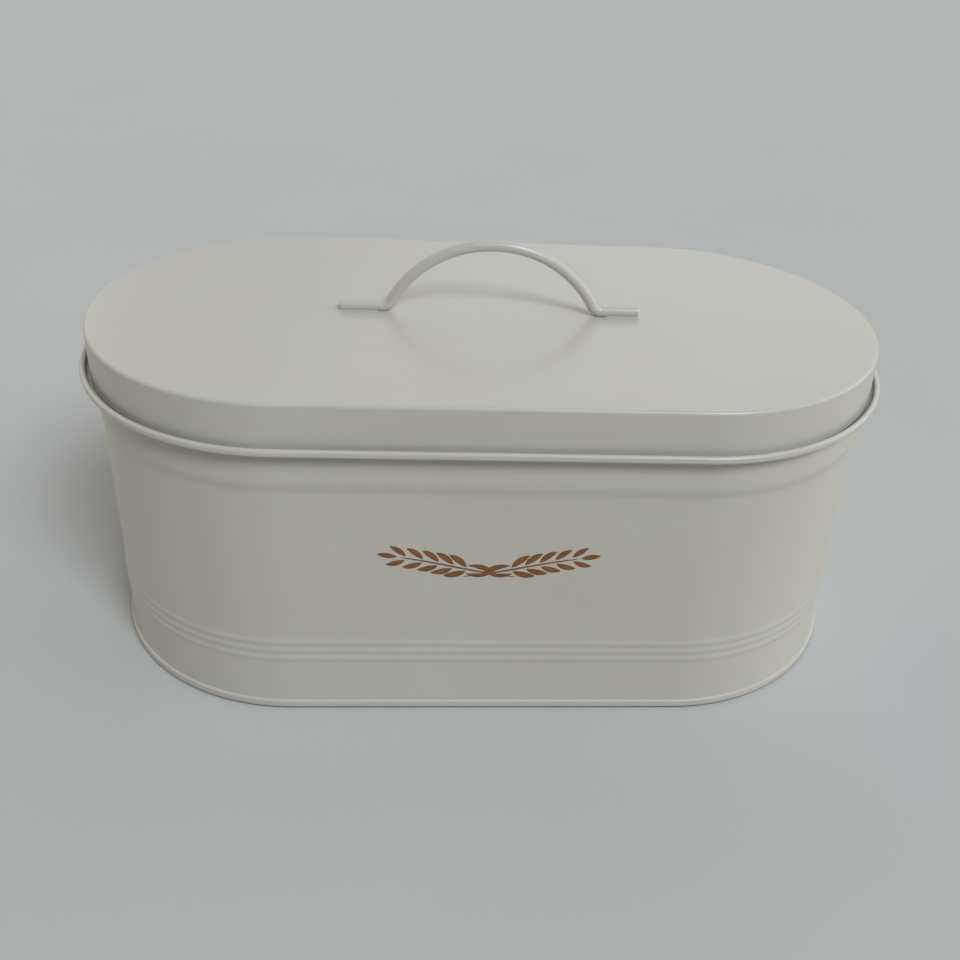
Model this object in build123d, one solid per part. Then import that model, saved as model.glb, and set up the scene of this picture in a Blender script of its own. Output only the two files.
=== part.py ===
# Oblong bread tin of coated sheet steel with a lift-off lid.
# Millimetres, +Z up, +X along the tin. The origin is on the ground under the middle of the base.
# Every sheet piece is one profile, drawn as distance out from the middle line against height,
# carried along two straight sides and round two half-circle ends.
import os
from math import atan, atan2, cos, hypot, pi, radians, sin, sqrt, tan

from build123d import *

# Plan of the body
end_spacing = 166.6  # between the centres of the two half-circle ends
wall_radius = 84.5  # outside of the wall at the ends, and half the width of its sides
sheet = 0.4  # steel sheet of the wall, the base and the lid

# Heights of the body
body_height = 133.5  # ground to the top of the rolled rim
seam_height = 4.0  # double seam round the foot

# Rolled rim: the upright edge round the lid's seat, curled outward and down into a hollow roll
rim_reach = 3.85  # inside of the rim beyond the outside of the wall
rim_radius = 1.2  # outside of the roll's two bends
rim_straight = 0.85  # upright between the two bends
rim_tuck = 105.0  # degrees of the lower bend

# Seat: a ledge inside the rim that the lid's skirt stands on
seat_depth = 2.8  # rim top down to the ledge
seat_round = 0.9  # hollow side of the ledge's two bends

# Shoulder: above it the wall is a little wider, and leans in towards the rim
shoulder_step = 0.8  # foot of the neck outside the wall
shoulder_drop = 18.3  # rim top down to the upper bend
shoulder_height = 4.0  # between the two bends
shoulder_round_share = 0.7  # of the slope that its two bends take up
neck_lean = 4.5  # degrees, of the neck above the shoulder

# Stiffening beads rolled into the lower wall
bead_count = 3
bead_pitch = 4.2
bead_rise = 0.45  # of the flanks, before their crests are rounded
bead_level = 31.5  # ground to the middle of the group
bead_round_share = 0.8  # of each flank that its two bends take up

# Double seam: hooks of the base and the wall folded into each other
seam_gap = 0.05  # between neighbouring layers
hook_gap = 0.3  # between a hook's edge and the fold that it points into
seam_round = 0.5  # corners of the folded edge
heel_round = 0.9  # its outer corner on the ground
panel_recess = 3.2  # ground to the underside of the base panel

# Lapped joint of the wall, at the middle of the back
lap_width = 6.0
lap_margin = 1.0  # between the lap's ends and the seam or the ledge

# Lid
lid_rise = 17.7  # lid top above the rim
lid_gap = 1.65  # skirt to rim
lid_seat_gap = 0.3  # skirt edge above the ledge, as thick as its coating
lid_edge_radius = 1.5  # pressed bend between top and skirt
lid_hem_height = 5.0  # skirt edge folded back inside

# Handle, one bent rod
rod_radius = 2.4
grip_height = 28.2  # clear under the middle of the arch
arch_offset = 0.75  # middle of the arch from the middle of the two feet
arch_half_span = 44.75  # to where the arch's curve would meet the feet
bend_radius = 5.0  # middle line of the two bends
foot_reach = 64.8  # middle of the two feet to the end of each
foot_flat = 0.3  # depth of the flat pressed under each foot
foot_round = 0.4  # rounded ends of the rod

# Worked out from the sizes above
neck_radius = wall_radius + shoulder_step
wall_inside = wall_radius - sheet
rim_inside = wall_radius + rim_reach
rim_level = body_height - rim_radius
seat_level = body_height - seat_depth
shoulder_top = body_height - shoulder_drop
shoulder_foot = shoulder_top - shoulder_height
shoulder_angle = atan(shoulder_step / shoulder_height)
shoulder_slope = hypot(shoulder_step, shoulder_height)
shoulder_round = shoulder_round_share * shoulder_slope / (2 * tan(shoulder_angle / 2))
bead_flank_height = bead_pitch / 2
bead_angle = atan(bead_rise / bead_flank_height)
bead_flank = hypot(bead_rise, bead_flank_height)
bead_round = bead_round_share * bead_flank / (2 * tan(bead_angle))
lid_radius = rim_inside - lid_gap
lid_top = body_height + lid_rise
lid_foot = seat_level + lid_seat_gap


# One profile carried round the oblong plan.
def oblong(profile):
    side = Rot(0, 0, -90) * (Plane.XZ * profile)
    straight = Pos(-end_spacing / 2, 0, 0) * extrude(side, amount=end_spacing, dir=(1, 0, 0))
    end = Pos(end_spacing / 2, 0, 0) * revolve(side, Axis.Z, 180)
    half = straight + end
    return half + Rot(0, 0, 180) * half


# Corners of the wall from a low level to the shoulder, moved outward by a distance, and their bends.
# Moved inward, the shoulder's corners also rise, which keeps the sheet even on the slope.
def wall_corners(outward, low):
    lift = -outward * tan(shoulder_angle / 2)
    first = bead_level - bead_count * bead_flank_height
    points = [(wall_radius + outward, low)]
    rounds = []
    for step in range(2 * bead_count + 1):
        crest = bead_rise * (step % 2)
        points.append((wall_radius + outward + crest, first + step * bead_flank_height))
        rounds.append(bead_round)
    points.append((wall_radius + outward, shoulder_foot + lift))
    points.append((neck_radius + outward, shoulder_top + lift))
    rounds += [shoulder_round, shoulder_round]
    return points, rounds


# The neck at a level.
def neck_at(level):
    return neck_radius - (level - shoulder_top) * tan(radians(neck_lean))


# The wall up to a level on its neck.
def plain_line(outward, low, high):
    points, rounds = wall_corners(outward, low)
    return FilletPolyline(*points, (neck_at(high) + outward, high), radius=rounds)


# The wall on from its neck: out along the ledge of the seat, then up to a level in the rim.
def seat_line(outward, low, high):
    points, rounds = wall_corners(outward, low)
    ledge = seat_level - sheet - outward
    upright = rim_inside + sheet + outward
    points += [(neck_at(ledge) + outward, ledge), (upright, ledge), (upright, high)]
    rounds += [seat_round - outward, seat_round + sheet + outward]
    return FilletPolyline(*points, radius=rounds)


# Sheet between two lines of one kind.
def wall_sheet(line, inner, outer, low, high):
    inside = line(inner, low, high)
    outside = line(outer, low, high)
    caps = [Line(inside @ 0, outside @ 0), Line(inside @ 1, outside @ 1)]
    return make_face([inside, outside, *caps])


# Roll of the rim: over at the top, down the outside and in at the bottom, where its edge is free.
def rim_roll():
    middle = rim_inside + rim_radius

    def run(radius):
        over = CenterArc((middle, rim_level), radius, 180, -180)
        under = CenterArc((middle, rim_level - rim_straight), radius, 0, -rim_tuck)
        return [over, Line(over @ 1, under @ 0), under]

    outer = run(rim_radius)
    inner = run(rim_radius - sheet)
    caps = [Line(outer[0] @ 0, inner[0] @ 0), Line(outer[-1] @ 1, inner[-1] @ 1)]
    return make_face([*outer, *inner, *caps])


# Layers of the double seam, from the inside outward.
cover_inside = wall_inside - seam_gap - sheet
cover_outside = wall_inside - seam_gap
cover_hook = wall_radius + seam_gap
body_hook = cover_hook + sheet + seam_gap
seam_inside = body_hook + sheet + seam_gap
seam_radius = seam_inside + sheet
body_fold = sheet + seam_gap
body_hook_top = seam_height - sheet - hook_gap
cover_hook_foot = body_fold + sheet + hook_gap


# Edge of the wall, turned out and up inside the seam. Its lower corner follows the fold's heel.
def wall_hook():
    heel = (body_hook + sheet, body_fold)
    points = [
        (wall_inside, body_fold),
        heel,
        (body_hook + sheet, body_hook_top),
        (body_hook, body_hook_top),
        (body_hook, body_fold + sheet),
        (wall_inside, body_fold + sheet),
    ]
    rounds = [heel_round - body_fold if point == heel else 0 for point in points]
    return make_face(FilletPolyline(*points, radius=rounds, close=True))


# Wall with its hook, beads, shoulder, seat and rim. The lap doubles the sheet up the middle of the back.
def body_wall():
    profile = wall_sheet(seat_line, -sheet, 0, body_fold + sheet, rim_level) + wall_hook() + rim_roll()
    lap_low = seam_height + lap_margin
    lap_high = seat_level - sheet - seat_round - lap_margin
    lap_profile = wall_sheet(plain_line, -sheet / 2, sheet, lap_low, lap_high)
    lap_face = Rot(0, 0, 90) * (Plane.XZ * lap_profile)
    lap = extrude(lap_face, amount=lap_width / 2, dir=(1, 0, 0), both=True)
    return oblong(profile) + lap


# Base panel, sunk inside the wall, with its edge folded round the wall's hook. It stands on the
# flat under that fold.
def base_panel():
    panel_top = panel_recess + sheet
    corner_rounds = {
        (0, panel_recess): 0,
        (cover_inside, panel_recess): 0,
        (cover_inside, 0): seam_round,
        (seam_radius, 0): heel_round,
        (seam_radius, seam_height): seam_round,
        (cover_hook, seam_height): 0,
        (cover_hook, cover_hook_foot): 0,
        (cover_hook + sheet, cover_hook_foot): 0,
        (cover_hook + sheet, seam_height - sheet): 0,
        (seam_inside, seam_height - sheet): 0,
        (seam_inside, sheet): heel_round - sheet,
        (cover_outside, sheet): 0,
        (cover_outside, panel_top): 0,
        (0, panel_top): 0,
    }
    outline = FilletPolyline(*corner_rounds, radius=list(corner_rounds.values()), close=True)
    return oblong(make_face(outline))


# Lid pressed from one sheet, with the edge of its skirt folded back inside.
def lid_pan():
    skirt_inside = lid_radius - sheet
    hem_inside = skirt_inside - sheet
    hem_top = lid_foot + lid_hem_height
    underside = lid_top - sheet
    points = [
        (0, underside),
        (skirt_inside, underside),
        (skirt_inside, hem_top),
        (hem_inside, hem_top),
        (hem_inside, lid_foot),
        (lid_radius, lid_foot),
        (lid_radius, lid_top),
        (0, lid_top),
    ]
    rounds = [0] * len(points)
    rounds[points.index((skirt_inside, underside))] = lid_edge_radius - sheet
    rounds[points.index((lid_radius, lid_top))] = lid_edge_radius
    return oblong(make_face(FilletPolyline(*points, radius=rounds, close=True)))


# Handle: an arch between two bends, on feet that lie along the lid.
def handle_rod():
    foot_level = lid_top + rod_radius - foot_flat
    crown = lid_top + grip_height + rod_radius
    rise = crown - foot_level
    arch_radius = (arch_half_span**2 + rise**2) / (2 * rise)
    arch_centre = crown - arch_radius
    # Each bend touches the foot's line and the outside of the arch's circle.
    bend_level = foot_level + bend_radius
    bend_reach = sqrt((arch_radius + bend_radius) ** 2 - (bend_level - arch_centre) ** 2)
    bend_angle = atan2(bend_level - arch_centre, bend_reach)
    joint = (arch_radius * cos(bend_angle), arch_centre + arch_radius * sin(bend_angle))
    middle_angle = bend_angle / 2 - pi / 4
    turn_out = (
        bend_reach + bend_radius * sin(middle_angle),
        bend_level - bend_radius * cos(middle_angle),
    )

    def at(side, place):
        return (arch_offset + side * place[0], 0, place[1])

    def half_path(side):
        bend_start = at(side, (bend_reach, foot_level))
        foot = Line((side * foot_reach, 0, foot_level), bend_start)
        return [foot, ThreePointArc(bend_start, at(side, turn_out), at(side, joint))]

    arch = ThreePointArc(at(-1, joint), at(0, (0, crown)), at(1, joint))
    path = Wire([*half_path(-1), arch, *half_path(1)])
    start = Plane(origin=(-foot_reach, 0, foot_level), z_dir=(1, 0, 0))
    rod = sweep(start * Circle(rod_radius), path=path)
    ends = rod.faces().sort_by(Axis.X)
    rod = fillet([*ends[0].edges(), *ends[-1].edges()], foot_round)
    pressed = Box(2 * foot_reach, 2 * rod_radius, rod_radius, align=(Align.CENTER, Align.CENTER, Align.MAX))
    return rod - Pos(0, 0, lid_top) * pressed


os.makedirs("parts", exist_ok=True)
pieces = {
    "body_wall": body_wall(),
    "base_panel": base_panel(),
    "lid_pan": lid_pan(),
    "handle_rod": handle_rod(),
}
for name, piece in pieces.items():
    export_step(piece, f"parts/{name}.step")
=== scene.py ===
# Oblong bread tin of powder-coated sheet steel with a lift-off lid and an arched rod handle
import math

import bpy
import numpy as np
from mathutils import Matrix, Vector


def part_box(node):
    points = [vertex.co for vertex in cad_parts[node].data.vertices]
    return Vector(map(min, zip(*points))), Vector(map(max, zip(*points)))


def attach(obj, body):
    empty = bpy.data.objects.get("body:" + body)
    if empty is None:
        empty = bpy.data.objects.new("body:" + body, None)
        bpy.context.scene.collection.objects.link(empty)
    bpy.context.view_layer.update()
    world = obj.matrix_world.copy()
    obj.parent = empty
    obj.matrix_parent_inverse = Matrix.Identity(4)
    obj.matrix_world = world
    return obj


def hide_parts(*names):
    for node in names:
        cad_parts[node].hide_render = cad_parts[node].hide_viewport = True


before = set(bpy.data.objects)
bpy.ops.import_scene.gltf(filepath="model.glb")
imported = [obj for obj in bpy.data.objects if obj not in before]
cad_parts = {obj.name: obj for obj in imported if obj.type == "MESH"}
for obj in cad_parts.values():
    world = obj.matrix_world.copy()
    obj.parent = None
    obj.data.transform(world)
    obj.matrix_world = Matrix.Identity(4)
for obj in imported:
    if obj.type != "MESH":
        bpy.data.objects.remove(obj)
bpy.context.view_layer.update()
mm = 0.001  # the dictionaries below are in millimetres
print("frame loaded, nodes:", ", ".join(sorted(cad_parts)))


# Shared helpers

def nodeBox(node):  # highest corner of a CAD node and its lowest level, in millimetres
    low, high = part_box(node)
    return high.x / mm, high.y / mm, high.z / mm, low.z / mm


def linearColour(hexText):  # sRGB hex to the linear colour that sockets take
    parts = np.array([int(hexText[i:i + 2], 16) for i in (1, 3, 5)]) / 255
    linear = np.where(parts <= 0.04045, parts / 12.92, ((parts + 0.055) / 1.055) ** 2.4)
    return (*linear.tolist(), 1.0)


def addNode(tree, kind, settings=None, values=None, links=None):  # settings, then values and links of sockets
    node = tree.nodes.new("ShaderNode" + kind)
    for name, value in (settings or {}).items():
        setattr(node, name, value)
    for socket, value in (values or {}).items():
        node.inputs[socket].default_value = value
    for socket, source in (links or {}).items():
        tree.links.new(source, node.inputs[socket])
    return node


def newMaterial(name):
    material = bpy.data.materials.new(name)
    material.use_nodes = True
    material.node_tree.nodes.clear()
    return material, material.node_tree


def perMetre(size):  # noise scale that makes one feature about this many millimetres wide
    return 1 / (size * mm)


lineSteps = {
    "arc": 7,  # degrees
    "guard": 0.2,  # from an arc to the first point on a straight
    "shortest": 0.8,  # straight that gets such points
    "gap": 9.0,  # most between points of a straight
}


# Corner k of a run of straight lines becomes an arc of radius k that touches both lines.
def filletLine(corners, radii):
    corners = np.array(corners, float)
    arcStep = math.radians(lineSteps["arc"])
    runs = [corners[:1]]
    for before, corner, after, radius in zip(corners, corners[1:], corners[2:], radii):
        back = (before - corner) / np.linalg.norm(before - corner)
        ahead = (after - corner) / np.linalg.norm(after - corner)
        turn = math.pi - math.acos(np.clip(back @ ahead, -1, 1))
        if radius == 0:
            runs.append(corner[None])
            continue
        reach = radius / math.cos(turn / 2)
        centre = corner + reach * (back + ahead) / np.linalg.norm(back + ahead)
        spoke = corner + back * radius * math.tan(turn / 2) - centre
        sense = np.sign(ahead[1] * -back[0] + ahead[0] * back[1])
        angle = sense * np.linspace(0, turn, max(3, math.ceil(turn / arcStep) + 1))
        runs.append(centre + np.stack([
            spoke[0] * np.cos(angle) - spoke[1] * np.sin(angle),
            spoke[0] * np.sin(angle) + spoke[1] * np.cos(angle)], -1))
    runs.append(corners[-1:])
    return guardStraights(np.concatenate(runs))


# A straight that is long enough gets a point close to both of its ends, so that the shading of an arc
# doesn't creep into it.
def guardStraights(points):
    guard = lineSteps["guard"]
    filled = []
    for start, end in zip(points, points[1:]):
        length = np.linalg.norm(end - start)
        shares = np.zeros(1)
        if length > lineSteps["shortest"]:
            count = max(2, math.ceil(length / lineSteps["gap"]) + 1)
            inner = np.linspace(guard, length - guard, count)
            shares = np.concatenate([[0], inner / length])
        filled.append(start + shares[:, None] * (end - start))
    return np.concatenate([*filled, points[-1:]])


def arcLine(centre, radius, fromAngle, toAngle, count):  # points along a circle, angles in degrees
    angle = np.radians(np.linspace(fromAngle, toAngle, count))
    return np.stack([centre[0] + radius * np.cos(angle), centre[1] + radius * np.sin(angle)], -1)


# A profile of (distance out, height) carried round the oblong plan: along each straight side the distance
# points straight out, and round each end it turns about that end's centre.
def carryRound(profile, spacing, endSteps=72, sideSteps=20):
    turn = np.linspace(-math.pi / 2, math.pi / 2, endSteps + 1)
    side = np.linspace(1, -1, sideSteps + 1)[1:-1]
    angle = np.concatenate([turn, np.full(side.size, math.pi / 2), turn + math.pi,
                            np.full(side.size, -math.pi / 2)])
    centre = np.concatenate([np.ones(turn.size), side, -np.ones(turn.size), -side]) * spacing / 2
    out, height = profile[:, 0], profile[:, 1]
    return np.stack([
        centre[:, None] + np.cos(angle)[:, None] * out,
        np.sin(angle)[:, None] * out,
        np.broadcast_to(height, (angle.size, out.size))], -1)


# Quads between neighbours of a grid of points. A wrapped direction also joins its last line to its first.
def gridFaces(rows, columns, wrapRows=False, wrapColumns=False, first=0):
    row = np.arange(rows if wrapRows else rows - 1)
    column = np.arange(columns if wrapColumns else columns - 1)
    row, column = np.meshgrid(row, column, indexing="ij")
    nextRow = (row + 1) % rows
    nextColumn = (column + 1) % columns
    corners = [row * columns + column, nextRow * columns + column,
               nextRow * columns + nextColumn, row * columns + nextColumn]
    return (np.stack(corners, -1).reshape(-1, 4) + first).tolist()


# Rows that close to a ring leave a hole inside the first and the last column. A flat cap closes each.
def cappedFaces(points):
    rows, columns = points.shape[:2]
    ring = np.arange(rows) * columns
    return gridFaces(rows, columns, wrapRows=True) + [ring[::-1].tolist(), (ring + columns - 1).tolist()]


# A mesh from points in millimetres that rides on a body, with a share of a darker colour at each point for
# its material: painted shade with some dust on the coat, the darker edge on the ink.
# Edges that turn by more than sharpAngle, in degrees, stay crisp.
def makePiece(name, points, faces, material, body, stoodFor=(), darkening=None, sharpAngle=40):
    mesh = bpy.data.meshes.new(name)
    mesh.from_pydata((points.reshape(-1, 3) * mm).tolist(), [], faces)
    mesh.shade_smooth()
    mesh.set_sharp_from_angle(angle=math.radians(sharpAngle))
    shade = np.zeros(len(mesh.vertices)) if darkening is None else np.asarray(darkening, float).ravel()
    mesh.attributes.new("darkening", "FLOAT", "POINT").data.foreach_set("value", shade)
    mesh.materials.append(material)
    piece = bpy.data.objects.new(name, mesh)
    bpy.context.scene.collection.objects.link(piece)
    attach(piece, body)
    if stoodFor:
        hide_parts(*stoodFor)
    print(name, len(mesh.vertices), "points")
    return piece


# Materials

coatLook = {
    "colour": "#CFCDC8",
    "warmColour": "#CDCAC3",  # where the coat lies a little thin
    # painted shade in creases and where parts meet, with some dust
    "shadeAndDustColour": "#45403A",
    "shadeAndDustShare": 0.95,
    "cloudSize": 70.0,  # soft clouds of colour across a panel
    "cloudRange": (0.35, 0.7),
    "peelSize": 2.2,  # real orange peel is about 1 mm, drawn coarser so that it shows
    "peelDepth": 0.018,
    "roughness": (0.31, 0.4),
    "ior": 1.5,
    "skin": 0.25,  # thin glossy skin over the satin, seen as narrow lights along the rod and the bends
    "skinRoughness": 0.14,
}


# Powder coat baked on sheet steel: an even satin skin with a faint orange peel, a little warmer where it is
# thin, and darker in creases and where parts meet, which is painted shade with some dust.
def powderCoat(look):
    material, tree = newMaterial("powder coat, warm white satin")
    place = addNode(tree, "TexCoord").outputs["Object"]
    cloud = addNode(tree, "TexNoise", values={"Scale": perMetre(look["cloudSize"]), "Detail": 3.0},
                    links={"Vector": place}).outputs["Fac"]
    peel = addNode(tree, "TexNoise", values={"Scale": perMetre(look["peelSize"]), "Detail": 1.0},
                   links={"Vector": place}).outputs["Fac"]
    pale, full = look["cloudRange"]
    cloudShare = addNode(tree, "MapRange", values={"From Min": pale, "From Max": full},
                         links={"Value": cloud}).outputs["Result"]
    coat = addNode(tree, "Mix", {"data_type": "RGBA"},
                   {"A": linearColour(look["colour"]), "B": linearColour(look["warmColour"])},
                   {"Factor": cloudShare})
    # share of painted shade and dust at each point
    darkening = addNode(tree, "Attribute", {"attribute_name": "darkening"}).outputs["Fac"]
    shadeAndDustShare = addNode(tree, "Math", {"operation": "MULTIPLY"}, {1: look["shadeAndDustShare"]},
                         {0: darkening}).outputs["Value"]
    colour = addNode(tree, "Mix", {"data_type": "RGBA"}, {"B": linearColour(look["shadeAndDustColour"])},
                     {"Factor": shadeAndDustShare, "A": coat.outputs["Result"]})
    smooth, dull = look["roughness"]
    roughness = addNode(tree, "MapRange", values={"To Min": smooth, "To Max": dull},
                        links={"Value": cloud}).outputs["Result"]
    bump = addNode(tree, "Bump", values={"Strength": 1.0, "Distance": look["peelDepth"] * mm},
                   links={"Height": peel}).outputs["Normal"]
    skin = {"Coat Weight": look["skin"], "Coat Roughness": look["skinRoughness"]}
    shader = addNode(tree, "BsdfPrincipled", values={"IOR": look["ior"], **skin},
                     links={"Base Color": colour.outputs["Result"], "Roughness": roughness, "Normal": bump})
    addNode(tree, "OutputMaterial", links={"Surface": shader.outputs["BSDF"]})
    return material


inkLook = {
    "colour": "#85542A",
    "thinColour": "#956136",  # where the ink is thin
    "edgeColour": "#5C3718",
    "edgeShare": 0.75,
    "cloudSize": 4.0,
    "cloudRange": (0.4, 0.7),
    "roughness": 0.5,
}


# Ink baked on over the coat: a copper brown, patchy where it was pressed on thinly and darker at its edges.
def bakedInk(look):
    material, tree = newMaterial("baked ink, copper brown")
    place = addNode(tree, "TexCoord").outputs["Object"]
    cloud = addNode(tree, "TexNoise", values={"Scale": perMetre(look["cloudSize"]), "Detail": 2.0},
                    links={"Vector": place}).outputs["Fac"]
    pale, full = look["cloudRange"]
    thin = addNode(tree, "MapRange", values={"From Min": pale, "From Max": full}, links={"Value": cloud})
    ink = addNode(tree, "Mix", {"data_type": "RGBA"},
                  {"A": linearColour(look["colour"]), "B": linearColour(look["thinColour"])},
                  {"Factor": thin.outputs["Result"]})
    edge = addNode(tree, "Attribute", {"attribute_name": "darkening"}).outputs["Fac"]
    edgeShare = addNode(tree, "Math", {"operation": "MULTIPLY"}, {1: look["edgeShare"]}, {0: edge})
    colour = addNode(tree, "Mix", {"data_type": "RGBA"}, {"B": linearColour(look["edgeColour"])},
                     {"Factor": edgeShare.outputs["Value"], "A": ink.outputs["Result"]})
    shader = addNode(tree, "BsdfPrincipled", values={"Roughness": look["roughness"]},
                     links={"Base Color": colour.outputs["Result"]})
    addNode(tree, "OutputMaterial", links={"Surface": shader.outputs["BSDF"]})
    return material


coatMaterial = powderCoat(coatLook)
inkMaterial = bakedInk(inkLook)
print("materials made")


# Body wall

rimX, rimY, rimTop, _ = nodeBox("body_wall")
endSpacing = 2 * (rimX - rimY)

wallSizes = {
    "sheet": 0.4,
    "rimReach": 3.85,  # inside of the rim beyond the wall
    "rimRadius": 1.2,  # bends of the roll
    "rimStraight": 0.85,
    "rimTuck": 105,  # degrees of the roll's lower bend
    "rimSteps": {"hollowTop": 20, "hollowLow": 14, "low": 18, "top": 28},  # points round each bend
    "seatDepth": 2.8,  # rim top down to the ledge that the lid stands on
    "seatRound": 0.9,
    "shoulderStep": 0.8,
    "shoulderDrop": 18.3,  # rim top down to the upper bend
    "shoulderHeight": 4.0,
    "shoulderRoundShare": 0.7,
    "neckLean": 4.5,  # degrees that the neck leans in above the shoulder
    "beadCount": 3,
    "beadPitch": 4.2,
    "beadRise": 0.45,
    "beadLevel": 31.5,
    "beadRoundShare": 0.8,
    "footLevel": 1.0,  # lower edge, inside the seam
    "lapWidth": 6.0,
    "lapRound": 0.1,
    "lapEnds": (5.0, 128.4),
    "creases": ((129.9, 1.0, 0.16), (112.6, 1.8, 0.05), (4.2, 0.8, 0.1)),  # level, spread and share of painted shade with some dust, under the roll, the shoulder and above the seam
    "ledgeShadeAndDust": (0.5, 0.9, 0.6),  # painted shade with some dust in the lid's channel: share, then how far below the rim's top it starts and fades in
}
rimInside = rimY - 2 * wallSizes["rimRadius"]
wallOutside = rimInside - wallSizes["rimReach"]
seatLevel = rimTop - wallSizes["seatDepth"]


# The wall's line from a low to a high level, moved out by a distance: flat, beads, flat, shoulder and neck,
# then with a seat also its ledge and the upright inside the rim. A bend of the shoulder moved inward also
# rises, which keeps the sheet even on the slope.
def wallLine(sizes, outward, low, high, seat):
    neck = wallOutside + sizes["shoulderStep"]
    slope = math.atan2(sizes["shoulderStep"], sizes["shoulderHeight"])
    lift = -outward * math.tan(slope / 2)
    shoulderTop = rimTop - sizes["shoulderDrop"]
    shoulderFoot = shoulderTop - sizes["shoulderHeight"]
    shoulderRun = math.hypot(sizes["shoulderStep"], sizes["shoulderHeight"])
    shoulderRound = sizes["shoulderRoundShare"] * shoulderRun / (2 * math.tan(slope / 2))
    flank = sizes["beadPitch"] / 2
    tilt = math.atan2(sizes["beadRise"], flank)
    beadRound = sizes["beadRoundShare"] * math.hypot(sizes["beadRise"], flank) / (2 * math.tan(tilt))
    step = np.arange(2 * sizes["beadCount"] + 1)
    beads = np.stack([wallOutside + outward + sizes["beadRise"] * (step % 2),
                      sizes["beadLevel"] + (step - sizes["beadCount"]) * flank], -1)
    above = [(wallOutside + outward, shoulderFoot + lift), (neck + outward, shoulderTop + lift)]
    radii = [beadRound] * step.size + [shoulderRound] * 2
    ledge = seatLevel - sizes["sheet"] - outward
    neckEnd = ledge if seat else high
    neckTop = neck - (neckEnd - shoulderTop) * math.tan(math.radians(sizes["neckLean"]))
    above += [(neckTop + outward, neckEnd)]
    if seat:
        upright = rimInside + sizes["sheet"] + outward
        above += [(upright, ledge), (upright, high)]
        radii += [sizes["seatRound"] - outward, sizes["seatRound"] + sizes["sheet"] + outward]
    return filletLine(np.concatenate([[(wallOutside + outward, low)], beads, above]), radii)


# Painted shade, with some dust, in bands about each level: in the sheet's creases and where pieces meet the
# ground or the lid; a band is harder at its edges for a higher power.
def paintedShadeBands(points, bands, power=2):
    level = points[..., 2]
    return sum(share * np.exp(-(((level - height) / spread) ** power)) for height, spread, share in bands)


# Painted shade, with some dust, also darkens the ledge and the low upright beside it, in the narrow channel
# round the lid's skirt; these are on the last points of the line.
def paintedLedgeShade(profile, insideCount, weldShadeAndDust):
    share, start, fade = weldShadeAndDust
    level = profile[:, 1]
    depth = np.clip((rimTop - start - level) / fade, 0, 1)
    onInside = np.arange(len(profile)) >= len(profile) - insideCount
    return share * depth * onInside * (level > seatLevel - wallSizes["sheet"] / 2)


# One closed line: up the outside, round the hollow of the roll, back round its outside and down the inside.
def bodyWall(sizes):
    middle = rimInside + sizes["rimRadius"]
    high = rimTop - sizes["rimRadius"]
    low = high - sizes["rimStraight"]
    bore = sizes["rimRadius"] - sizes["sheet"]
    steps = sizes["rimSteps"]
    hollow = [arcLine((middle, high), bore, 180, 0, steps["hollowTop"]),
              arcLine((middle, low), bore, 0, -sizes["rimTuck"], steps["hollowLow"])]
    roll = [arcLine((middle, low), sizes["rimRadius"], -sizes["rimTuck"], 0, steps["low"]),
            arcLine((middle, high), sizes["rimRadius"], 0, 180, steps["top"])]
    outside = wallLine(sizes, 0, sizes["footLevel"], high, True)
    inside = wallLine(sizes, -sizes["sheet"], sizes["footLevel"], high, True)[::-1]
    rollLine = guardStraights(np.concatenate(roll))
    profile = np.concatenate([outside[:-1], *hollow, rollLine, inside[1:]])
    points = carryRound(profile, endSpacing)
    faces = gridFaces(*points.shape[:2], wrapRows=True, wrapColumns=True)
    # painted shade with some dust under the roll, the shoulder, above the seam and in the lid's channel
    darkening = paintedShadeBands(points, sizes["creases"])
    darkening += paintedLedgeShade(profile, len(inside) - 1, sizes["ledgeShadeAndDust"])
    return makePiece("bodyWall", points, faces, coatMaterial, "tin", ["body_wall"], darkening)


# The lap at the middle of the back: the wall's line moved out by one sheet, with rolled-over long edges.
def wallLap(sizes):
    half = sizes["lapWidth"] / 2
    edge = sizes["lapRound"]
    top = sizes["sheet"]
    across = np.array([-half, -half, -half + edge, half - edge, half, half])
    lift = np.array([-edge, top - edge, top, top, top - edge, -edge])
    lines = np.stack([wallLine(sizes, outward, *sizes["lapEnds"], False) for outward in lift])
    points = np.stack([np.broadcast_to(-across[:, None], lines.shape[:2]), lines[..., 0], lines[..., 1]], -1)
    return makePiece("wallLap", points, cappedFaces(points), coatMaterial, "tin", ["body_wall"])


bodyWall(wallSizes)
wallLap(wallSizes)


# Base panel

_, seamY, seamTop, baseFoot = nodeBox("base_panel")

baseSizes = {
    "sheet": 0.4,
    "recess": 3.2,  # ground to the underside of the panel
    "slot": 0.45,  # width of the slot that the wall's lower edge stands in
    "slotFoot": 0.9,
    "cornerRound": 0.5,
    "heelRound": 0.9,  # outer corner on the ground
    "middle": 2.0,  # half width of the strip that closes the panel
    "footShade": (0.0, 0.97, 1.0),  # level, height and share of the painted contact shadow along the foot on the ground
    "footShadePower": 8,
}


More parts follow.
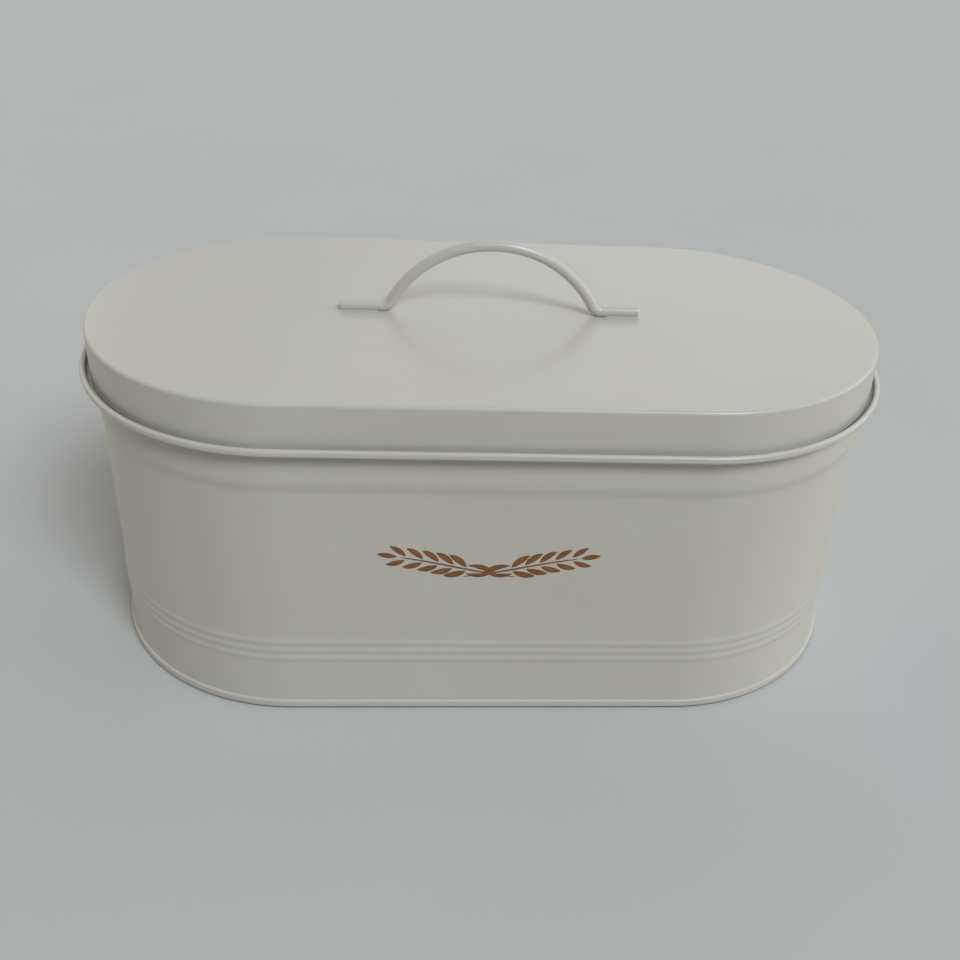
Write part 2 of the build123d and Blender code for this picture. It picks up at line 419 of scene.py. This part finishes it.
# One line from the middle of the underside, round the folded edge and the slot, to the middle of the top.
def basePanel(sizes):
    wallMiddle = wallOutside - wallSizes["sheet"] / 2
    slotIn = wallMiddle - sizes["slot"] / 2
    slotOut = wallMiddle + sizes["slot"] / 2
    insideEdge = slotIn - sizes["sheet"]
    top = sizes["recess"] + sizes["sheet"]
    corners = [(sizes["middle"], sizes["recess"]), (insideEdge, sizes["recess"]), (insideEdge, baseFoot),
               (seamY, baseFoot), (seamY, seamTop), (slotOut, seamTop), (slotOut, sizes["slotFoot"]),
               (slotIn, sizes["slotFoot"]), (slotIn, top), (sizes["middle"], top)]
    radius = sizes["cornerRound"]
    profile = filletLine(corners, [0, radius, sizes["heelRound"], radius, 0, 0, 0, 0])
    points = carryRound(profile, endSpacing)
    # painted contact shadow where the hem stands on the ground
    darkening = paintedShadeBands(points, [sizes["footShade"]], sizes["footShadePower"])
    return makePiece("basePanel", points, cappedFaces(points), coatMaterial, "tin", ["base_panel"], darkening)


basePanel(baseSizes)


# Lid

lidX, lidY, lidTop, lidFoot = nodeBox("lid_pan")
lidSpacing = 2 * (lidX - lidY)

lidSizes = {
    "sheet": 0.4,
    "edgeRadius": 1.5,
    "hemHeight": 5.0,
    "middle": 2.0,
}


# One line from the middle of the underside, down inside the skirt, round its folded edge and up to the top.
def lidPan(sizes):
    inside = lidY - sizes["sheet"]
    hemInside = inside - sizes["sheet"]
    hemTop = lidFoot + sizes["hemHeight"]
    under = lidTop - sizes["sheet"]
    corners = [(sizes["middle"], under), (inside, under), (inside, hemTop), (hemInside, hemTop),
               (hemInside, lidFoot), (lidY, lidFoot), (lidY, lidTop), (sizes["middle"], lidTop)]
    fold = sizes["sheet"] / 2
    edge = sizes["edgeRadius"]
    profile = filletLine(corners, [edge - sizes["sheet"], 0, fold, fold, fold, edge])
    points = carryRound(profile, lidSpacing)
    return makePiece("lidPan", points, cappedFaces(points), coatMaterial, "lid", ["lid_pan"])


lidPan(lidSizes)


# Handle

footReach, rodRadius, handleTop, handleFoot = nodeBox("handle_rod")

handleSizes = {
    "archOffset": 0.75,  # middle of the arch from the middle of the feet
    "archHalfSpan": 44.75,  # to where the arch's curve would meet the feet
    "bendRadius": 5.0,
    "footFlat": 0.3,  # depth of the flat pressed under each foot
    "endRound": 0.4,
    "weldRadius": 0.7,  # coated weld along each foot
    "weldFade": 2.5,  # length over which the weld runs out towards the bend
    "weldShadeAndDust": (0.5, 0.25),  # spread and share of painted shade, with some dust, along the feet where they meet the lid
    "pathSteps": {"tip": 7, "foot": 30, "bend": 18, "arch": 46},  # points along each stretch
    "sectionSteps": (25, 16),  # points over the top half and down each side of the lower half
    "bottomGap": 3,  # degrees from the lowest points to the bottom
}


# The rod's middle line from the right foot to the left one, as places and headings in the upright plane of
# the handle: foot, bend and arch, then the same the other way round. The feet have close steps at their ends.
def handlePath(sizes):
    level = handleFoot + rodRadius - sizes["footFlat"]
    crown = handleTop - rodRadius
    rise = crown - level
    archRadius = (sizes["archHalfSpan"] ** 2 + rise ** 2) / (2 * rise)
    archCentre = crown - archRadius
    bend = sizes["bendRadius"]
    bendLevel = level + bend
    bendReach = math.sqrt((archRadius + bend) ** 2 - (bendLevel - archCentre) ** 2)
    bendAngle = math.atan2(bendLevel - archCentre, bendReach)
    steps = sizes["pathSteps"]
    bendTurn = np.linspace(0, math.pi / 2 - bendAngle, steps["bend"])[:-1]
    archTurn = np.linspace(bendAngle, math.pi / 2, steps["arch"])
    curved = np.concatenate([bendReach - bend * np.sin(bendTurn), archRadius * np.cos(archTurn)])
    tip = footReach - sizes["endRound"] * (1 - np.cos(np.linspace(0, math.pi / 2, steps["tip"])))
    halves = []
    for side in (1, -1):
        footEnd = bendReach + side * sizes["archOffset"]
        foot = np.concatenate([tip, np.linspace(tip[-1], footEnd, steps["foot"])[1:-1]])
        halves.append(np.concatenate([side * foot, sizes["archOffset"] + side * curved]))
    straight = np.full(foot.size, level)
    up = np.concatenate([straight, bendLevel - bend * np.cos(bendTurn),
                         archCentre + archRadius * np.sin(archTurn)])
    lean = np.concatenate([np.zeros(foot.size), bendTurn, math.pi / 2 - archTurn])
    across = np.concatenate([halves[0], halves[1][-2::-1]])
    return across, np.concatenate([up, up[-2::-1]]), np.concatenate([lean, -lean[-2::-1]]), bendReach


# A circle carried along that line. On the feet its lower half changes to the weld: down the rod's side, then
# out along a hollow fillet to the lid. The two ends are rounded over.
def handleRod(sizes):
    across, up, lean, bendReach = handlePath(sizes)
    topSteps, lowSteps = sizes["sectionSteps"]
    top = np.linspace(0, math.pi, topSteps)
    low = np.radians(np.linspace(180, 270 - sizes["bottomGap"], lowSteps))[1:]
    circle = np.concatenate([top, low, 3 * math.pi - low[::-1]])
    side = rodRadius * np.cos(circle)
    rise = rodRadius * np.sin(circle)
    level = rodRadius - sizes["footFlat"]
    weld = sizes["weldRadius"]
    height = level * np.linspace(1, 0, low.size + 1)[1:]
    bare = np.sqrt(rodRadius ** 2 - (level - height) ** 2)
    start = math.sqrt(rodRadius ** 2 - (level - weld) ** 2)
    hollow = start + weld - np.sqrt(weld ** 2 - np.clip(weld - height, 0, weld) ** 2)
    reach = np.where(height < weld, hollow, bare)
    weldSide = np.concatenate([rodRadius * np.cos(top), -reach, reach[::-1]])
    weldRise = np.concatenate([rodRadius * np.sin(top), height - level, height[::-1] - level])
    share = np.clip((np.abs(across - sizes["archOffset"]) - bendReach) / sizes["weldFade"], 0, 1)
    share = (share ** 2 * (3 - 2 * share))[:, None]
    sides = side + share * (weldSide - side)
    rises = rise + share * (weldRise - rise)
    lowest = np.where(lean == 0, handleFoot - up, -rodRadius)  # a level stretch goes no lower than the lid
    rises = np.maximum(rises, lowest[:, None])
    fromEnd = np.clip(footReach - np.abs(across), 0, sizes["endRound"])[:, None] / sizes["endRound"]
    shrink = 1 - (1 - np.sqrt(1 - (1 - fromEnd) ** 2)) * sizes["endRound"] / rodRadius
    rises = np.where(rises > 0, rises * shrink, rises)
    points = np.stack([across[:, None] + np.sin(lean)[:, None] * rises, sides * shrink,
                       up[:, None] + np.cos(lean)[:, None] * rises], -1)
    rows, columns = points.shape[:2]
    faces = gridFaces(rows, columns, wrapColumns=True)
    faces += [np.arange(columns)[::-1].tolist(), (np.arange(columns) + (rows - 1) * columns).tolist()]
    # painted shade with some dust where the feet meet the lid
    darkening = paintedShadeBands(points, [(handleFoot, *sizes["weldShadeAndDust"])])
    return makePiece("handleRod", points, faces, coatMaterial, "lid", ["handle_rod"], darkening)


handleRod(handleSizes)


# Wheat sprig printed on the front

sprigSizes = {
    "level": 79.6,  # middle of the print above the ground
    "stem": ((-11.0, -8.2), (4.0, -6.6), (16.0, -2.2), (36.5, 1.2)),  # right stem, from the sprig's middle
    "stemWidth": 0.9,
    "stemSteps": 40,
    "grainPairs": 5,
    "grainRun": (0.47, 0.96),  # of the stem that the pairs stand on
    "grain": (9.6, 2.9),  # length and width
    "grainTilt": 40,  # degrees from the stem
    "grainBow": 0.7,  # of the tilt, turned back along a grain
    "lastGrain": 0.85,  # size against the first
    "grainGap": 0.9,  # bare strip between the stem's middle and a grain
    "leaves": ((0.24, -1, 10.5, 2.0), (0.18, 1, 13.0, 2.5)),  # place on the stem, side, length and width
    "leafTilt": 30,
    "leafBow": 1.4,
    "fullness": {"stem": 0.35, "leaf": 0.8, "grain": 0.7},  # lower is blunter at the ends
    "strokeSteps": 14,
    "relief": 0.12,  # real ink is about 0.02 mm thick, drawn thicker so that its edge shows
}


def stemCurve(ends, shares):  # places on the cubic curve of the stem and their headings
    ends = np.array(ends, float)
    share = np.asarray(shares, float)
    rest = 1 - share
    place = np.stack([rest ** 3, 3 * rest ** 2 * share, 3 * rest * share ** 2, share ** 3], -1) @ ends
    along = np.stack([rest ** 2, 2 * rest * share, share ** 2], -1) @ np.diff(ends, axis=0)
    return place, np.arctan2(along[:, 1], along[:, 0])


def bowedLine(start, heading, bow, length, count):  # a line that turns evenly by the bow along its length
    turn = heading + bow * np.linspace(0, 1, count)
    steps = np.stack([np.cos(turn), np.sin(turn)], -1)[:-1] * length / (count - 1)
    return np.concatenate([[start], start + np.cumsum(steps, 0)])


def spindle(count, width, fullness):  # half widths that run out to a point at both ends
    return width / 2 * np.sin(np.linspace(0, math.pi, count)) ** fullness


# All strokes of the right half: the stem, its leaves, pairs of grains, and one grain at the tip.
def sprigStrokes(sizes):
    stemSteps = sizes["stemSteps"]
    steps = sizes["strokeSteps"]
    fullness = sizes["fullness"]
    line, _ = stemCurve(sizes["stem"], np.linspace(0, 1, stemSteps))
    strokes = [(line, spindle(stemSteps, sizes["stemWidth"], fullness["stem"]))]
    for share, side, length, width in sizes["leaves"]:
        start, heading = stemCurve(sizes["stem"], [share])
        tilt = side * math.radians(sizes["leafTilt"])
        leaf = bowedLine(start[0], heading[0] + tilt, -sizes["leafBow"] * tilt, length, steps)
        strokes.append((leaf, spindle(steps, width, fullness["leaf"])))
    feet, headings = stemCurve(sizes["stem"], np.linspace(*sizes["grainRun"], sizes["grainPairs"]))
    sizeShares = np.linspace(1, sizes["lastGrain"], sizes["grainPairs"])
    length, width = sizes["grain"]
    for foot, heading, sizeShare in zip(feet, headings, sizeShares):
        for side in (1, -1):
            tilt = side * math.radians(sizes["grainTilt"])
            start = foot + side * sizes["grainGap"] * np.array([-math.sin(heading), math.cos(heading)])
            grain = bowedLine(start, heading + tilt, -sizes["grainBow"] * tilt, sizeShare * length, steps)
            strokes.append((grain, spindle(steps, sizeShare * width, fullness["grain"])))
    tip, heading = stemCurve(sizes["stem"], [1.0])
    start = tip[0] + sizes["grainGap"] * np.array([math.cos(heading[0]), math.sin(heading[0])])
    tipGrain = bowedLine(start, heading[0], 0.0, sizes["lastGrain"] * length, steps)
    return strokes + [(tipGrain, spindle(steps, sizes["lastGrain"] * width, fullness["grain"]))]


# Each stroke is a low closed ridge on the flat front: a ring of places across it at every inner point of its
# line, and one point at both ends. The other half has the same lines mirrored.
def wheatSprig(sizes):
    ring = np.array([(-1, 0), (-0.8, 0.8), (-0.3, 1), (0.3, 1), (0.8, 0.8), (1, 0),
                     (0.6, -0.8), (-0.6, -0.8)])
    edge = np.array([1, 0.5, 0, 0, 0.5, 1, 1, 1])
    columns = len(ring)
    points, faces, shades = [], [], []
    first = 0
    for line, half in sprigStrokes(sizes):
        for flip in (1, -1):
            run = line * (flip, 1)
            along = np.gradient(run, axis=0)
            along /= np.linalg.norm(along, axis=1)[:, None]
            aside = np.stack([-along[:, 1], along[:, 0]], -1)
            flat = run[1:-1, None] + aside[1:-1, None] * half[1:-1, None, None] * ring[:, :1]
            lift = np.broadcast_to(sizes["relief"] * ring[:, 1], flat.shape[:2])
            rows = flat.shape[0]
            tips = [(run[end, 0], 0, run[end, 1]) for end in (0, -1)]
            points += [np.stack([flat[..., 0], -lift, flat[..., 1]], -1).reshape(-1, 3), np.array(tips)]
            shades += [np.tile(edge, rows), np.ones(2)]
            column = np.arange(columns)
            after = (column + 1) % columns
            start, end = np.full(columns, rows * columns), np.full(columns, rows * columns + 1)
            last = (rows - 1) * columns
            fans = [np.stack([start, column, after], -1), np.stack([last + column, end, last + after], -1)]
            faces += gridFaces(rows, columns, wrapColumns=True, first=first)
            faces += (np.concatenate(fans) + first).tolist()
            first += rows * columns + 2
    places = np.concatenate(points) + (0, -wallOutside, sizes["level"])
    return makePiece("wheatSprig", places, faces, inkMaterial, "tin", darkening=np.concatenate(shades))


wheatSprig(sprigSizes)


# Floor, camera and lamps

floorLook = {
    "colour": "#CBCED0",
    "bounceColour": "#D0CBC0",  # what the floor throws back onto the tin
    "width": 8.0,  # metres
    "cloudSize": 260.0,
    "cloudShade": 0.94,
    "roughness": 0.8,
}


# One for a ray that shows the surroundings themselves: straight from the camera, mirrored or let through.
def seenShare(tree):
    rays = addNode(tree, "LightPath").outputs
    share = rays["Is Camera Ray"]
    for other in ("Is Glossy Ray", "Is Transmission Ray"):
        either = addNode(tree, "Math", {"operation": "MAXIMUM"}, links={0: share, 1: rays[other]})
        share = either.outputs["Value"]
    return share


# Matt paint: what is seen of it is its own cool colour, and the light that it throws back is warmer.
def paleFloor(look):
    material, tree = newMaterial("matt paint on a smooth floor")
    place = addNode(tree, "TexCoord").outputs["Object"]
    cloud = addNode(tree, "TexNoise", values={"Scale": perMetre(look["cloudSize"]), "Detail": 4.0},
                    links={"Vector": place}).outputs["Fac"]
    tone = linearColour(look["colour"])
    shade = (*[look["cloudShade"] * part for part in tone[:3]], 1.0)
    colour = addNode(tree, "Mix", {"data_type": "RGBA"}, {"A": tone, "B": shade}, {"Factor": cloud})
    thrown = addNode(tree, "Mix", {"data_type": "RGBA"}, {"A": linearColour(look["bounceColour"])},
                     {"Factor": seenShare(tree), "B": colour.outputs["Result"]})
    shader = addNode(tree, "BsdfPrincipled", values={"Roughness": look["roughness"]},
                     links={"Base Color": thrown.outputs["Result"]})
    addNode(tree, "OutputMaterial", links={"Surface": shader.outputs["BSDF"]})
    half = look["width"] / 2
    mesh = bpy.data.meshes.new("floor")
    corners = [(-half, -half, 0), (half, -half, 0), (half, half, 0), (-half, half, 0)]
    mesh.from_pydata(corners, [], [(0, 1, 2, 3)])
    mesh.materials.append(material)
    floor = bpy.data.objects.new("floor", mesh)
    bpy.context.scene.collection.objects.link(floor)


cameraFit = {
    "place": (-18.05, -463.45, 357.67),
    "down": 0.5569,  # radians below the horizon
    "aside": 0.0925,  # radians from +Y towards +X
    "roll": 0.0641,
    "focalPixels": 1152.48,
    "axisPixels": (537.0, 475.5),  # where the optical axis meets the picture
    "imagePixels": 960,
    "sensor": 36.0,
    "nearest": 10.0,  # closest thing that it shows
}


# The camera's axes from its heading: forward is turned aside and down, then right and up roll about it.
def addCamera(fit):
    ahead = Vector((math.sin(fit["aside"]) * math.cos(fit["down"]),
                    math.cos(fit["aside"]) * math.cos(fit["down"]), -math.sin(fit["down"])))
    level = Vector((math.cos(fit["aside"]), -math.sin(fit["aside"]), 0))
    upright = level.cross(ahead)
    right = math.cos(fit["roll"]) * level + math.sin(fit["roll"]) * upright
    above = math.cos(fit["roll"]) * upright - math.sin(fit["roll"]) * level
    data = bpy.data.cameras.new("camera")
    data.sensor_width = fit["sensor"]
    data.lens = fit["sensor"] * fit["focalPixels"] / fit["imagePixels"]
    data.shift_x = 0.5 - fit["axisPixels"][0] / fit["imagePixels"]
    data.shift_y = fit["axisPixels"][1] / fit["imagePixels"] - 0.5
    data.clip_start = fit["nearest"] * mm
    camera = bpy.data.objects.new("camera", data)
    bpy.context.scene.collection.objects.link(camera)
    turned = Matrix((right, above, -ahead)).transposed().to_4x4()
    camera.matrix_world = Matrix.Translation(Vector(fit["place"]) * mm) @ turned
    bpy.context.scene.camera = camera


# Every lamp is a sun, given by the direction that it shines from and the degrees that it fills in the sky.
# Its share is how much of a written colour a surface facing it gives back.
lampSettings = {
    "key": {"from": (0.355, -0.59, 0.726), "size": 20, "share": 0.45, "colour": "#F5FEFF"},
    "front": {"from": (0.25, -0.42, 0.82), "size": 60, "share": 0.135, "colour": "#FEFFFD"},
    "back": {"from": (0.40, 0.90, 0.82), "size": 60, "share": 0.14, "colour": "#FDFDFF"},
    "right": {"from": (0.93, 0.05, 0.29), "size": 60, "share": 0.28, "colour": "#FFF6F0"},
    "left": {"from": (-0.80, 0.45, 0.32), "size": 80, "share": 0.265, "colour": "#FFF0D8"},
}
worldLook = {"light": "#FFFFFF", "strength": 0.03, "backdrop": "#B9BCBB"}


def addLamp(name, settings):
    data = bpy.data.lights.new(name, "SUN")
    data.angle = math.radians(settings["size"])
    data.energy = settings["share"] * math.pi
    data.color = linearColour(settings["colour"])[:3]
    lamp = bpy.data.objects.new(name, data)
    lamp.location = settings["from"]
    lamp.rotation_euler = Vector(settings["from"]).to_track_quat("Z", "Y").to_euler()
    bpy.context.scene.collection.objects.link(lamp)


def addWorld(look):
    world = bpy.data.worlds.new("studio")
    world.use_nodes = True
    tree = world.node_tree
    tree.nodes.clear()
    light = addNode(tree, "Background",
                    values={"Color": linearColour(look["light"]), "Strength": look["strength"]})
    backdrop = addNode(tree, "Background", values={"Color": linearColour(look["backdrop"])})
    both = addNode(tree, "MixShader", links={0: seenShare(tree), 1: light.outputs["Background"],
                                             2: backdrop.outputs["Background"]})
    addNode(tree, "OutputWorld", links={"Surface": both.outputs["Shader"]})
    bpy.context.scene.world = world


paleFloor(floorLook)
addCamera(cameraFit)
for lampName, lampValues in lampSettings.items():
    addLamp(lampName, lampValues)
addWorld(worldLook)
bpy.context.scene.view_settings.view_transform = "Standard"
print("floor, camera and lamps placed")
